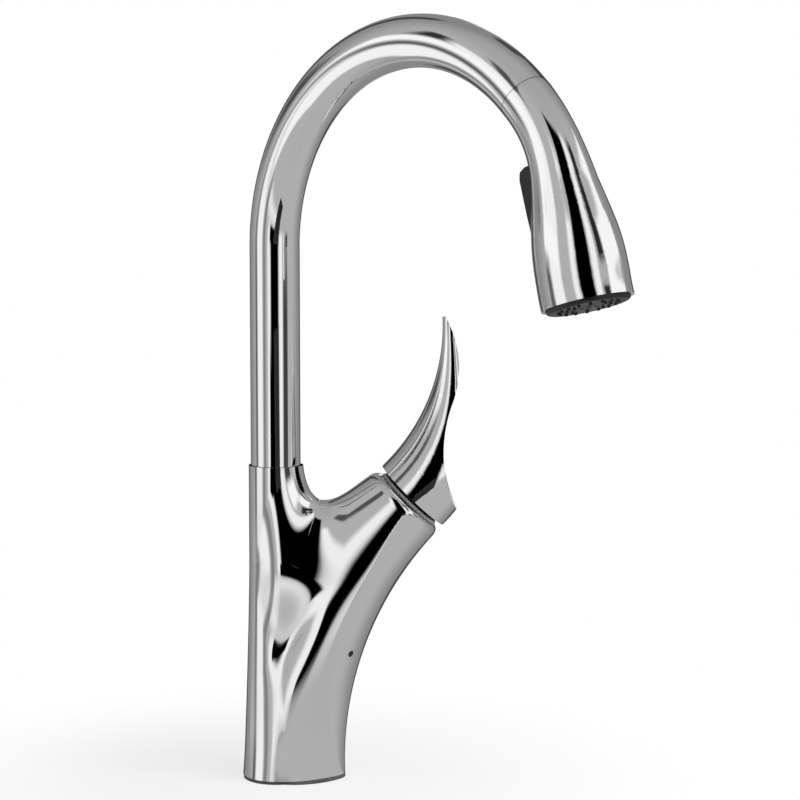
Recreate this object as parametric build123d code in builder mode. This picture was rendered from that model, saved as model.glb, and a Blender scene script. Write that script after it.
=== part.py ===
"""Pull-down kitchen faucet with a side lever, as an assembly of separate pieces.

Frame: +Z up, deck face at z = 0, spout swivel axis on Z, lever branch in the XZ plane.
All sizes are millimetres and degrees.
"""

import os
from math import asin, cos, degrees, exp, pi, radians, sin, sqrt

from build123d import *

os.makedirs("parts", exist_ok=True)

UP = (Align.CENTER, Align.CENTER, Align.MIN)

# Fits, as radial clearances
SEAT = 0.02
RUNNING = 0.05
LOOSE = 0.3

# Spout: a plain tube up from the body, bent into an arch
TUBE_R = 13.6
TUBE_BORE = 12.2
SPOUT_TURN = 44.6
ARCH_R = 107.0
ARCH_Z = 292.0
SEAM_Z = 172.5
SEAM_GAP = 0.5

# Spray head: bends on from the dock, runs straight and flares to the outlet
DOCK_ANGLE = 133.5
DOCK_GAP = 0.2
COLLAR_ANGLE = 9.0
NECK_R = 10.4
NECK_LENGTH = 9.5
HEAD_TILT = 16.35
HEAD_BEND_R = 86.7
HEAD_LENGTH = 63.0
HEAD_BOW = 1.15
HEAD_BOW_SKEW = 1.2
FLARE_START = 3.3
FLARE_FINISH = 4.0
FLARE_SHARE = 0.93
HEAD_WALL = 1.8
OUTLET_R = 22.9
OUTLET_DEPTH = 15.0
FACE_PROUD = 2.0

# Body: an oval column under the spout and a curved branch for the lever
COLUMN_R = 14.75
COLUMN_FOOT = (18.5, 21.5)
COLUMN_FLARE_Z = 121.0
BRANCH_RISE = 46.0
BRANCH_R = 23.4
BRANCH_END = 12.5
RIM_ARC = [(24.2, 7.8), (23.0, 10.9), (20.0, 12.55)]
KEEL_R = 185.0
HORN_SWELL = 7.0
HORN_SWELL_AT = 30.0
HORN_SWELL_SPAN = 11.5
FOOT_HALF_DEPTH = 21.0
FOOT_NARROWING = 0.22
CROTCH_R = 12.0
FOOT_SINK = 5.0

# Lever pivot, on the branch axis
PIVOT = Vector(63.9, 0, 145.0)

# Deck fixing
GASKET_T = 2.0
DECK_T = 30.0
SHANK_X = 5.0
SHANK_R = 16.75
SHANK_BORE = 15.0
SHANK_ENGAGED = 9.0
SHANK_BOTTOM = -62.0
WASHER_R = 27.0
RUBBER_T = 3.0
STEEL_T = 2.0
NUT_R = 30.0
NUT_T = 12.0
CLAMP_SCREW_R = 2.5
CLAMP_CIRCLE_R = 22.5

# Waterways: two inlets and one outlet, tapped in the floor of the body
PORT_R = 4.5
PORT_DEPTH = 12.0
PASSAGE_R = 3.2
BODY_PORTS = [(10.3, 9.0), (10.3, -9.0), (15.3, 0.0)]
VALVE_PORTS = [(-6.5, 7.0), (-6.5, -7.0), (7.5, 0.0)]

# Hose
PLUG_FLOOR = (38.7, -11.6, 71.4)
PLUG_TURN = 41.0
PLUG_R = 2.2
HOSE_R = 6.5
HOSE_BORE = 4.0
HOSE_BOTTOM = -70.0
HOSE_WAY = 8.0
HOSE_END_ANGLE = 153.0

# Swivel hub in the column
HUB_BORE = 12.1
HUB_FLOOR_Z = 126.0
HUB_R = 10.4
HUB_TOP_Z = 191.0
GLIDE_T = 8.0
O_RING_R = 1.0
O_RING_HEIGHTS = (144.0, 161.0)
KEEPER_Z = 153.0
KEEPER_R = 2.5
KEEPER_GROOVE = 1.4

# Rocker on the back of the spray head
ROCKER_TOP = -11.0
ROCKER_BOTTOM = 29.0
ROCKER_END_GAP = 2.0
ROCKER_HALF_WIDTH = 6.0
ROCKER_PIN = (-9.8, 22.0)
ROCKER_PIN_R = 1.25
EAR_R = 2.0
EAR_OUTER = 7.6
FINGER_HALF = 1.5

# Valve body and spray face in the head, from the top of its straight part
VALVE_NECK_R = 9.0
VALVE_R = 10.5
VALVE_STEP = 15.0
SPOOL_BORE = 5.5
SPOOL_TOP = 12.0
SPOOL_LENGTH = 22.0
SPOOL_WAIST = 2.2
SEAL_T = 1.4
SEAL_FLOOR = 4.6
CHECK_VALVE_LENGTH = 8.0
NUT_ANGLE = 3.0
FLANGE_T = 4.0
PAD_T = 4.0
AERATOR_R = 6.5
NOZZLE_R = 0.8
NOZZLE_OUTER_R = 14.8
NOZZLE_INNER_R = 10.6

# Cartridge heights along the branch axis, from the pivot
POCKET_R = 18.0
POCKET_FLOOR = -24.0
DISC_FLOOR = -17.5
DISC_FACE = -13.5
CARRIER_FLOOR = -9.0
CARRIER_SHOULDER = -3.0
CARTRIDGE_TOP = 1.0
NUT_TOP = 9.5
CARTRIDGE_R = 17.6
CAVITY_R = 14.4
CARRIER_R = 12.1
PORT_SEAL_R = 4.7
PORT_SEAL_T = 0.75
MOVING_DISC_R = 9.4
MOVING_DISC_T = 4.0
DISC_SOCKET_R = 3.3
DISC_SOCKET_T = 2.6
STEM_HALF = 4.0
STEM_TIP = -11.6
STEM_TIP_R = 2.4
STEM_SHOULDER = -6.5
STEM_TOP = 34.0
STEM_PIN_R = 2.0

# Trim ring between branch and lever
BONNET_R = 19.7
BONNET_MOUTH_R = 14.7

# Lever
SKIRT_R = 23.1
SKIRT_Z = 15.7
SKIRT_WALL = 1.8
SKIRT_ROOF = 24.6
LEVER_BEND_R = 106.0
LEVER_BEND_Z = 20.0
LEVER_BEND = 46.5
LEVER_TIP_R = 4.5
LEVER_TIP_T = 1.6
LEVER_HOLLOW = [(23.6, 26.6), (-0.4, 40.3), (-20.4, 67.6)]
GRUB_R = 2.5
GRUB_LENGTH = 8.0
GRUB_Z = 29.5

HEAD_END_ANGLE = 180.0 - HEAD_TILT
DOCK_BELOW = DOCK_ANGLE + DOCK_GAP
HORN_TOP = 90.0 - BRANCH_RISE
FLARE_END = HEAD_LENGTH - OUTLET_DEPTH

# Frames on the spout: the arch lies in one upright plane through the swivel axis
along = Vector(cos(radians(SPOUT_TURN)), -sin(radians(SPOUT_TURN)), 0)
across = Vector(-sin(radians(SPOUT_TURN)), -cos(radians(SPOUT_TURN)), 0)
arch_centre = along * ARCH_R + Vector(0, 0, ARCH_Z)
dock_out = along * -cos(radians(DOCK_ANGLE)) + Vector(0, 0, sin(radians(DOCK_ANGLE)))
head_centre = arch_centre + dock_out * (ARCH_R - HEAD_BEND_R)


def arch_frame(angle, further=0.0):
    """Plane across the arch or the head's bend: z runs downstream, x away from the bend's centre."""
    out = along * -cos(radians(angle)) + Vector(0, 0, sin(radians(angle)))
    downstream = along * sin(radians(angle)) + Vector(0, 0, cos(radians(angle)))
    centre = arch_centre + out * ARCH_R if angle < DOCK_ANGLE else head_centre + out * HEAD_BEND_R
    return Plane(origin=centre + downstream * further, x_dir=out, z_dir=downstream)


def head_frame(distance):
    """Plane across the straight part of the spray head."""
    return arch_frame(HEAD_END_ANGLE, distance)


# Frames on the branch: z runs up the branch axis, x points down and away from the column
branch_up = Vector(cos(radians(BRANCH_RISE)), 0, sin(radians(BRANCH_RISE)))
branch_out = Vector(sin(radians(BRANCH_RISE)), 0, -cos(radians(BRANCH_RISE)))
branch_axis = Axis(PIVOT, branch_up)
branch_side = Plane(origin=PIVOT, x_dir=branch_out, z_dir=(0, -1, 0))


def branch_frame(height):
    """Plane across the branch axis at a height above the lever pivot."""
    return Plane(origin=PIVOT + branch_up * height, x_dir=branch_out, z_dir=branch_up)


def bar(plane, radius, length, mode=Mode.ADD):
    """Round bar up from a plane."""
    with BuildSketch(plane, mode=Mode.PRIVATE) as section:
        Circle(radius)
    extrude(section.sketch, amount=length, mode=mode)


def ring(plane, outer, inner, length):
    """Plain ring up from a plane."""
    bar(plane, outer, length)
    bar(plane, inner, length, mode=Mode.SUBTRACT)


def bend(start, end, radius, mode=Mode.ADD):
    """Round bar along the arch, or along the head's bend past the dock, between two angles."""
    centre = arch_centre if start < DOCK_ANGLE else head_centre
    with BuildSketch(arch_frame(start), mode=Mode.PRIVATE) as section:
        Circle(radius)
    revolve(section.sketch, axis=Axis(centre, across), revolution_arc=start - end, mode=mode)


def finish(part, name):
    """Label the piece and write it."""
    part.label = name
    export_step(part, f"parts/{name}.step")


# Body casting: an oval column that blends into a horn-shaped branch
keel_centre = PIVOT + branch_up * BRANCH_END + branch_out * (KEEL_R + BRANCH_R)


def horn_frame(angle, half_width):
    """Plane across the branch horn, turned about the keel centre."""
    inward = Vector(cos(radians(angle)), 0, -sin(radians(angle)))
    forward = Vector(sin(radians(angle)), 0, cos(radians(angle)))
    return Plane(origin=keel_centre - inward * (KEEL_R + half_width), x_dir=inward, z_dir=forward)


def swell(angle):
    """How much wider the horn gets where it leaves the column."""
    return HORN_SWELL * exp(-(((angle - HORN_SWELL_AT) / HORN_SWELL_SPAN) ** 2))


def egg(half_width, half_depth, narrowing=0.0, start=0):
    """Closed oval, narrower towards +x, with its seam at the start angle."""
    points = []
    for step in range(12):
        turn = radians(start + 30 * step)
        depth = half_depth * sin(turn) * (1 - narrowing * cos(turn))
        points.append((half_width * cos(turn), depth))
    with BuildLine() as outline:
        Spline(points, periodic=True)
    make_face(outline.edges())


def is_crease(edge):
    """The long edge where the branch leaves the column."""
    size = edge.bounding_box().size
    return size.Z > SEAM_Z / 2 and size.Y > COLUMN_R


horn_foot = -degrees(asin((keel_centre.Z + 2 * FOOT_SINK) / KEEL_R))

with BuildPart() as horn:
    for step in range(9):
        angle = horn_foot + (HORN_TOP - horn_foot) * step / 8
        half_width = BRANCH_R + swell(angle) - swell(HORN_TOP)
        half_depth = FOOT_HALF_DEPTH + (BRANCH_R - FOOT_HALF_DEPTH) * angle / HORN_TOP
        narrowing = FOOT_NARROWING * max(0, 1 - angle / HORN_SWELL_AT) ** 2
        with BuildSketch(horn_frame(angle, half_width)):
            egg(half_width, half_depth, narrowing)
    loft()

with BuildPart() as column:
    for step in range(8):
        height = (SEAM_Z + FOOT_SINK) * step / 7 - FOOT_SINK
        flare = max(0, 1 - height / COLUMN_FLARE_Z) ** 1.4
        half_x = COLUMN_R + (COLUMN_FOOT[0] - COLUMN_R) * flare
        half_y = COLUMN_R + (COLUMN_FOOT[1] - COLUMN_R) * flare
        with BuildSketch(Plane.XY.offset(height)):
            egg(half_x, half_y, start=180)
    loft()

foot_plane = Plane.XY.offset(GASKET_T)
shank_plane = Plane(origin=(SHANK_X, 0, GASKET_T))
ports_plane = Plane.XY.offset(GASKET_T + SHANK_ENGAGED)
keeper_frame = Plane(origin=(0, 0, KEEPER_Z), x_dir=(1, 0, 0), z_dir=(0, 1, 0))
plug_frame = Plane(origin=PLUG_FLOOR, x_dir=(0, 0, 1), z_dir=(sin(radians(PLUG_TURN)), -cos(radians(PLUG_TURN)), 0))

with BuildPart() as body:
    add(column.part)
    add(horn.part)
    split(bisect_by=foot_plane, keep=Keep.TOP)
    fillet(body.edges().filter_by(is_crease), CROTCH_R)
    foot_face = body.faces().sort_by(Axis.Z)[0]
    with BuildSketch(branch_side):
        with BuildLine():
            rim = ThreePointArc(*RIM_ARC)
            Polyline(rim @ 1, (RIM_ARC[2][0], 2 * BRANCH_END), (2 * BRANCH_R, 2 * BRANCH_END), rim @ 0)
        make_face()
    revolve(axis=branch_axis, mode=Mode.SUBTRACT)
    blank = body.part
    bar(plug_frame, PLUG_R + SEAT, BRANCH_R, mode=Mode.SUBTRACT)
    bar(shank_plane, SHANK_R + SEAT, SHANK_ENGAGED, mode=Mode.SUBTRACT)
    bar(foot_plane, HOSE_WAY, SEAM_Z, mode=Mode.SUBTRACT)
    bar(Plane.XY.offset(HUB_FLOOR_Z), HUB_BORE, SEAM_Z, mode=Mode.SUBTRACT)
    bar(branch_frame(POCKET_FLOOR), POCKET_R, BRANCH_END - POCKET_FLOOR + BRANCH_R, mode=Mode.SUBTRACT)
    for (x, y), (valve_x, valve_y) in zip(BODY_PORTS, VALVE_PORTS):
        port = ports_plane.from_local_coords(Vector(x, y, 0))
        valve = branch_frame(POCKET_FLOOR).from_local_coords(Vector(valve_x, valve_y, 0))
        bar(Plane(origin=port), PORT_R, PORT_DEPTH, mode=Mode.SUBTRACT)
        tapped = port + Vector(0, 0, PORT_DEPTH - PASSAGE_R)
        way = Plane(origin=tapped, z_dir=valve - tapped)
        bar(way, PASSAGE_R, (valve - tapped).length + PASSAGE_R, mode=Mode.SUBTRACT)
    bar(keeper_frame, KEEPER_R, COLUMN_R + 1, mode=Mode.SUBTRACT)
finish(body.part, "body_casting")

with BuildPart() as passage_plug:
    add(blank)
    bar(plug_frame, PLUG_R, BRANCH_R, mode=Mode.INTERSECT)
finish(passage_plug.part, "passage_plug")

# Deck fixing: gasket above the deck, washers and a nut below it
with BuildPart() as gasket:
    extrude(foot_face, amount=GASKET_T, dir=(0, 0, -1))
    bar(Plane(origin=(SHANK_X, 0, 0)), SHANK_R + LOOSE, GASKET_T, mode=Mode.SUBTRACT)
finish(gasket.part, "base_gasket")

with BuildPart() as shank:
    shank_foot = Plane(origin=(SHANK_X, 0, SHANK_BOTTOM))
    ring(shank_foot, SHANK_R, SHANK_BORE, GASKET_T + SHANK_ENGAGED - SEAT - SHANK_BOTTOM)
    chamfer(shank.edges().group_by(Axis.Z)[0].sort_by(SortBy.LENGTH)[-1], 1.0)
finish(shank.part, "threaded_shank")

rubber_z = -DECK_T - RUBBER_T
steel_z = rubber_z - STEEL_T
nut_z = steel_z - NUT_T

with BuildPart() as rubber_washer:
    ring(Plane(origin=(SHANK_X, 0, rubber_z)), WASHER_R, SHANK_R + LOOSE, RUBBER_T)
finish(rubber_washer.part, "rubber_washer")

with BuildPart() as steel_washer:
    ring(Plane(origin=(SHANK_X, 0, steel_z)), WASHER_R, SHANK_R + LOOSE, STEEL_T)
finish(steel_washer.part, "steel_washer")

with BuildPart() as mounting_nut:
    with BuildSketch(Plane(origin=(SHANK_X, 0, nut_z))):
        RegularPolygon(NUT_R, 6)
        Circle(SHANK_R + SEAT, mode=Mode.SUBTRACT)
        with PolarLocations(CLAMP_CIRCLE_R, 2):
            Circle(CLAMP_SCREW_R + SEAT, mode=Mode.SUBTRACT)
    extrude(amount=NUT_T)
finish(mounting_nut.part, "mounting_nut")

with BuildPart() as clamp_screws:
    with BuildSketch(Plane(origin=(SHANK_X, 0, steel_z))) as screw_shafts:
        with PolarLocations(CLAMP_CIRCLE_R, 2):
            Circle(CLAMP_SCREW_R)
    extrude(amount=-NUT_T)
    with BuildSketch(Plane(origin=(SHANK_X, 0, nut_z))) as screw_heads:
        with PolarLocations(CLAMP_CIRCLE_R, 2):
            RegularPolygon(1.8 * CLAMP_SCREW_R, 6)
    extrude(amount=-1.6 * CLAMP_SCREW_R)
finish(clamp_screws.part, "clamp_screws")

# Swivel: the spout tube stands on a hub that turns in the column
tube_foot = SEAM_Z + SEAM_GAP

with BuildPart() as spout_tube:
    bar(Plane.XY.offset(tube_foot), TUBE_R, ARCH_Z - tube_foot)
    bend(0, DOCK_ANGLE, TUBE_R)
    bar(Plane.XY.offset(tube_foot), TUBE_BORE, ARCH_Z - tube_foot, mode=Mode.SUBTRACT)
    bend(0, DOCK_ANGLE, TUBE_BORE, mode=Mode.SUBTRACT)
finish(spout_tube.part, "spout_tube")

with BuildPart() as spout_hub:
    with BuildSketch(Plane.XZ):
        with BuildLine():
            Polyline(
                (HOSE_WAY, HUB_FLOOR_Z + 1),
                (HUB_R, HUB_FLOOR_Z + 1),
                (HUB_R, tube_foot),
                (TUBE_BORE - RUNNING, tube_foot),
                (TUBE_BORE - RUNNING, HUB_TOP_Z),
                (HOSE_WAY, HUB_TOP_Z),
                close=True,
            )
        make_face()
    revolve(axis=Axis.Z)
    for height in O_RING_HEIGHTS:
        groove = Plane.XY.offset(height - O_RING_R - RUNNING)
        with BuildSketch(groove):
            Circle(HUB_R + 1)
            Circle(HUB_BORE - RUNNING - 2 * O_RING_R, mode=Mode.SUBTRACT)
        extrude(amount=2 * (O_RING_R + RUNNING), mode=Mode.SUBTRACT)
    with BuildSketch(Plane.XY.offset(KEEPER_Z - KEEPER_R)):
        Circle(HUB_R + 1)
        Circle(HUB_R - KEEPER_GROOVE, mode=Mode.SUBTRACT)
    extrude(amount=2 * KEEPER_R, mode=Mode.SUBTRACT)
finish(spout_hub.part, "spout_hub")

with BuildPart() as upper_glide_ring:
    ring(Plane.XY.offset(SEAM_Z - GLIDE_T), HUB_BORE - RUNNING, HUB_R + SEAT, GLIDE_T)
finish(upper_glide_ring.part, "upper_glide_ring")

with BuildPart() as lower_glide_ring:
    ring(Plane.XY.offset(HUB_FLOOR_Z + 1), HUB_BORE - RUNNING, HUB_R + SEAT, GLIDE_T)
finish(lower_glide_ring.part, "lower_glide_ring")

with BuildPart() as hub_o_rings:
    for height in O_RING_HEIGHTS:
        ring_foot = Plane.XY.offset(height - O_RING_R)
        with BuildSketch(ring_foot):
            Circle(HUB_BORE - RUNNING)
            Circle(HUB_BORE - RUNNING - 2 * O_RING_R + SEAT, mode=Mode.SUBTRACT)
        extrude(amount=2 * O_RING_R)
finish(hub_o_rings.part, "hub_o_rings")

with BuildPart() as seam_washer:
    ring(Plane.XY.offset(SEAM_Z + SEAT), TUBE_R - 0.8, HUB_R + LOOSE, SEAM_GAP - 2 * SEAT)
finish(seam_washer.part, "seam_washer")

with BuildPart() as keeper_screw:
    keeper_tip = keeper_frame.offset(HUB_R - KEEPER_GROOVE + LOOSE)
    keeper_root = keeper_frame.offset(HUB_BORE)
    bar(keeper_tip, KEEPER_R - 2 * LOOSE, HUB_BORE - HUB_R + KEEPER_GROOVE)
    bar(keeper_root, KEEPER_R - SEAT, COLUMN_R - HUB_BORE - LOOSE)
    with BuildSketch(keeper_frame.offset(COLUMN_R - LOOSE)):
        RegularPolygon(KEEPER_R / 2, 6)
    extrude(amount=-1.5, mode=Mode.SUBTRACT)
finish(keeper_screw.part, "keeper_screw")

# Hose: up the column and round the arch to the spray head
with BuildPart() as hose:
    bar(Plane.XY.offset(HOSE_BOTTOM), HOSE_R, ARCH_Z - HOSE_BOTTOM)
    bend(0, DOCK_ANGLE, HOSE_R)
    bend(DOCK_ANGLE, HOSE_END_ANGLE, HOSE_R)
    bar(Plane.XY.offset(HOSE_BOTTOM), HOSE_BORE, ARCH_Z - HOSE_BOTTOM, mode=Mode.SUBTRACT)
    bend(0, DOCK_ANGLE, HOSE_BORE, mode=Mode.SUBTRACT)
    bend(DOCK_ANGLE, HOSE_END_ANGLE, HOSE_BORE, mode=Mode.SUBTRACT)
finish(hose.part, "pull_hose")

with BuildPart() as hose_tail:
    with BuildSketch(Plane.XY.offset(HOSE_BOTTOM)):
        RegularPolygon(HOSE_R + 2, 6)
        Circle(HOSE_BORE, mode=Mode.SUBTRACT)
    extrude(amount=-HOSE_R)
    ring(Plane.XY.offset(HOSE_BOTTOM - 3 * HOSE_R), HOSE_R + 1, HOSE_BORE, 2 * HOSE_R)
finish(hose_tail.part, "hose_tail_fitting")

# Dock: a collar in the end of the spout and a neck on the head that slides into it
dock_plane = arch_frame(DOCK_ANGLE)
head_side = Plane(origin=head_frame(0).origin, x_dir=head_frame(0).x_dir, z_dir=across)
head_axis = Axis(head_frame(0).origin, head_frame(0).z_dir)
head_start = radians(HEAD_END_ANGLE - DOCK_ANGLE) * HEAD_BEND_R
head_gap = radians(DOCK_GAP) * HEAD_BEND_R
head_end = head_start + HEAD_LENGTH


def head_form(start, end, steps, inset, mode=Mode.ADD):
    """Round form of the head between two distances from the dock, inset from its outer face."""
    sections = []
    for step in range(steps + 1):
        distance = start + (end - start) * step / steps
        share = min(1, distance / (head_end * FLARE_SHARE))
        radius = TUBE_R + (OUTLET_R - TUBE_R) * (1 - (1 - share**FLARE_START) ** FLARE_FINISH)
        bow = share**HEAD_BOW_SKEW
        turned = DOCK_ANGLE + degrees(min(distance, head_start) / HEAD_BEND_R)
        with BuildSketch(arch_frame(turned, max(0, distance - head_start)), mode=Mode.PRIVATE) as section:
            with Locations((4 * HEAD_BOW * bow * (1 - bow), 0)):
                Circle(radius - inset)
        sections.append(section.sketch)
    loft(sections, mode=mode)


with BuildPart() as docking_collar:
    bend(DOCK_ANGLE - COLLAR_ANGLE, DOCK_ANGLE - DOCK_GAP, TUBE_BORE - SEAT)
    bend(DOCK_ANGLE - COLLAR_ANGLE, DOCK_ANGLE - DOCK_GAP, HOSE_WAY, mode=Mode.SUBTRACT)
    bar(dock_plane, NECK_R + LOOSE, -NECK_LENGTH - 1, mode=Mode.SUBTRACT)
finish(docking_collar.part, "docking_collar")

with BuildPart() as docking_neck:
    bar(dock_plane, NECK_R, -NECK_LENGTH)
    chamfer(docking_neck.edges().sort_by(Axis(dock_plane.origin, dock_plane.z_dir))[0], 1.0)
    bar(dock_plane, NECK_R, NECK_R / 2)
    head_form(head_gap, NECK_R * 2 / 3, 3, HEAD_WALL + RUNNING)
    bar(dock_plane.offset(-NECK_LENGTH), HOSE_R + 1, 2 * NECK_LENGTH + 2, mode=Mode.SUBTRACT)
finish(docking_neck.part, "docking_neck")

# Spray head shell: round the bend, then a straight flare, open at the back for the rocker
with BuildPart() as head_shell:
    head_form(head_gap, head_end, 14, 0)
    head_form(head_gap, head_end, 14, HEAD_WALL, Mode.SUBTRACT)
    bar(head_frame(FLARE_END), OUTLET_R - HEAD_WALL, OUTLET_DEPTH, mode=Mode.SUBTRACT)
    with BuildSketch(head_side):
        with Locations((-OUTLET_R, -(ROCKER_TOP + ROCKER_BOTTOM) / 2)):
            Rectangle(2 * (OUTLET_R - NECK_R), ROCKER_BOTTOM - ROCKER_TOP + 2 * ROCKER_END_GAP)
    extrude(amount=ROCKER_HALF_WIDTH + LOOSE, both=True, mode=Mode.SUBTRACT)
finish(head_shell.part, "spray_head_shell")

# Inside the head: the valve body carries the rocker, the spool and the spray face
pin_x, pin_z = ROCKER_PIN
flange_top = FLARE_END + LOOSE
flange_bottom = flange_top + FLANGE_T
pad_bottom = flange_bottom + PAD_T
face_bottom = HEAD_LENGTH + FACE_PROUD
face_r = OUTLET_R - HEAD_WALL - SEAT


def side_box(left, right, top, bottom, half_width, mode=Mode.ADD):
    """Block across the head between two radii and two distances down the head."""
    with BuildSketch(head_side, mode=Mode.PRIVATE) as section:
        with Locations(((left + right) / 2, -(top + bottom) / 2)):
            Rectangle(right - left, bottom - top)
    extrude(section.sketch, amount=half_width, both=True, mode=mode)


def cross_bar(x, z, radius, half_length, mode=Mode.ADD):
    """Round bar across the head."""
    with BuildSketch(head_side, mode=Mode.PRIVATE) as section:
        with Locations((x, -z)):
            Circle(radius)
    extrude(section.sketch, amount=half_length, both=True, mode=mode)


with BuildPart() as valve_body:
    bend(HOSE_END_ANGLE, HEAD_END_ANGLE, HOSE_R)
    bar(head_frame(0), VALVE_NECK_R, flange_bottom)
    bar(head_frame(VALVE_STEP), VALVE_R, flange_bottom - VALVE_STEP)
    bar(head_frame(flange_top), face_r, FLANGE_T)
    side_box(pin_x - EAR_R, -SPOOL_BORE, pin_z - EAR_R, pin_z + EAR_R, EAR_OUTER)
    side_box(-OUTLET_R, -SPOOL_BORE - 1.3, pin_z - 6, pin_z + 6, ROCKER_HALF_WIDTH + LOOSE, Mode.SUBTRACT)
    side_box(-VALVE_R, 0, pin_z - 2.8, pin_z + 2.8, FINGER_HALF + LOOSE, Mode.SUBTRACT)
    bar(head_frame(0.5), SPOOL_BORE, flange_bottom, mode=Mode.SUBTRACT)
    bend(HOSE_END_ANGLE, HEAD_END_ANGLE, HOSE_BORE, mode=Mode.SUBTRACT)
    cross_bar(pin_x, pin_z, ROCKER_PIN_R + SEAT, EAR_OUTER, Mode.SUBTRACT)
finish(valve_body.part, "valve_body")

with BuildPart() as hose_nut:
    bend(HOSE_END_ANGLE - NUT_ANGLE, HOSE_END_ANGLE + NUT_ANGLE, HOSE_R + 3)
    bend(HOSE_END_ANGLE - NUT_ANGLE, HOSE_END_ANGLE + NUT_ANGLE, HOSE_R + RUNNING, mode=Mode.SUBTRACT)
finish(hose_nut.part, "hose_nut")

with BuildPart() as inlet_screen:
    bend(HOSE_END_ANGLE + 1, HOSE_END_ANGLE + 1.6, HOSE_BORE - SEAT)
finish(inlet_screen.part, "inlet_screen")

with BuildPart() as check_valve:
    ring(head_frame(1), SPOOL_BORE - SEAT, 1.6, CHECK_VALVE_LENGTH)
finish(check_valve.part, "check_valve")

with BuildPart() as spool:
    bar(head_frame(SPOOL_TOP), SPOOL_BORE - 2 * RUNNING, SPOOL_LENGTH)
    for top, bottom, floor in (
        (pin_z - FINGER_HALF - 0.1, pin_z + FINGER_HALF + 0.1, SPOOL_WAIST),
        (SPOOL_TOP + 2, SPOOL_TOP + 2 + SEAL_T, SEAL_FLOOR),
        (SPOOL_TOP + SPOOL_LENGTH - 2 - SEAL_T, SPOOL_TOP + SPOOL_LENGTH - 2, SEAL_FLOOR),
    ):
        with BuildSketch(head_frame(top)):
            Circle(SPOOL_BORE)
            Circle(floor, mode=Mode.SUBTRACT)
        extrude(amount=bottom - top, mode=Mode.SUBTRACT)
finish(spool.part, "diverter_spool")

with BuildPart() as spool_seals:
    for top in (SPOOL_TOP + 2, SPOOL_TOP + SPOOL_LENGTH - 2 - SEAL_T):
        with BuildSketch(head_frame(top + SEAT)):
            Circle(SPOOL_BORE - RUNNING)
            Circle(SEAL_FLOOR + SEAT, mode=Mode.SUBTRACT)
        extrude(amount=SEAL_T - 2 * SEAT)
finish(spool_seals.part, "spool_seals")

# Rocker: pressed at the top, it turns on its pin and its finger shifts the spool
with BuildPart() as rocker:
    with BuildSketch(head_side):
        with BuildLine():
            Polyline(
                (-17.0, -ROCKER_TOP),
                (-18.6, -ROCKER_TOP - 2.4),
                (-20.1, -ROCKER_TOP - 7),
                (-20.7, -ROCKER_TOP - 12),
                (-20.5, -pin_z),
                (-19.6, -ROCKER_BOTTOM),
                (-16.0, -ROCKER_BOTTOM),
                (-14.2, -pin_z - 5),
                (pin_x, -pin_z - 2),
                (pin_x, -pin_z + 2),
                (-14.6, -pin_z + 6),
                (-14.6, -ROCKER_TOP),
                close=True,
            )
        make_face()
    extrude(amount=ROCKER_HALF_WIDTH, both=True)
    fillet(rocker.edges().filter_by(lambda e: (e @ 0.5 - head_side.origin).dot(head_side.x_dir) < -16.8), 1.0)
    cross_bar(pin_x, pin_z, 2.6, ROCKER_HALF_WIDTH)
    side_box(pin_x, -SPOOL_WAIST - 0.4, pin_z - 1, pin_z + 1, FINGER_HALF)
    cross_bar(pin_x, pin_z, ROCKER_PIN_R + RUNNING, ROCKER_HALF_WIDTH, Mode.SUBTRACT)
finish(rocker.part, "spray_rocker")

with BuildPart() as rocker_pin:
    cross_bar(pin_x, pin_z, ROCKER_PIN_R, EAR_OUTER)
finish(rocker_pin.part, "rocker_pin")

# Spray face: a dark disc with soft nozzles round a central aerator
nozzle_rings = [(NOZZLE_OUTER_R, 16), (NOZZLE_INNER_R, 8)]

with BuildPart() as nozzle_pad:
    ring(head_frame(flange_bottom), face_r - 1, AERATOR_R + LOOSE, PAD_T)
    for radius, count in nozzle_rings:
        with BuildSketch(head_frame(pad_bottom)):
            with PolarLocations(radius, count):
                Circle(NOZZLE_R)
        extrude(amount=face_bottom + 0.8 - pad_bottom)
finish(nozzle_pad.part, "nozzle_pad")

with BuildPart() as spray_face:
    bar(head_frame(pad_bottom), face_r, 3)
    bar(head_frame(pad_bottom + 3), face_r - LOOSE, face_bottom - pad_bottom - 3)
    fillet(spray_face.edges().sort_by(head_axis)[-1], 1.5)
    bar(head_frame(pad_bottom), AERATOR_R + SEAT, face_bottom, mode=Mode.SUBTRACT)
    for radius, count in nozzle_rings:
        with BuildSketch(head_frame(pad_bottom)):
            with PolarLocations(radius, count):
                Circle(NOZZLE_R + RUNNING)
        extrude(amount=face_bottom, mode=Mode.SUBTRACT)
finish(spray_face.part, "spray_face")

with BuildPart() as aerator:
    bar(head_frame(flange_bottom), AERATOR_R, face_bottom - flange_bottom)
    with BuildSketch(head_frame(flange_bottom)):
        Circle(1.1)
        with PolarLocations(4.0, 6):
            Circle(1.1)
    extrude(amount=face_bottom, mode=Mode.SUBTRACT)
finish(aerator.part, "aerator")

# Cartridge: two ceramic discs under a turning carrier, clamped in the branch by a nut
with BuildPart() as cartridge_base:
    bar(branch_frame(POCKET_FLOOR + RUNNING), CARTRIDGE_R, DISC_FLOOR - POCKET_FLOOR - RUNNING)
    with BuildSketch(branch_frame(POCKET_FLOOR)):
        with Locations(*VALVE_PORTS):
            Circle(PASSAGE_R)
    extrude(amount=BRANCH_R, mode=Mode.SUBTRACT)
    with BuildSketch(branch_frame(POCKET_FLOOR)):
        with Locations(*VALVE_PORTS):
            Circle(PORT_SEAL_R + PORT_SEAL_T + RUNNING)
    extrude(amount=2 * PORT_SEAL_T + RUNNING, mode=Mode.SUBTRACT)
finish(cartridge_base.part, "cartridge_base")

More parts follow.
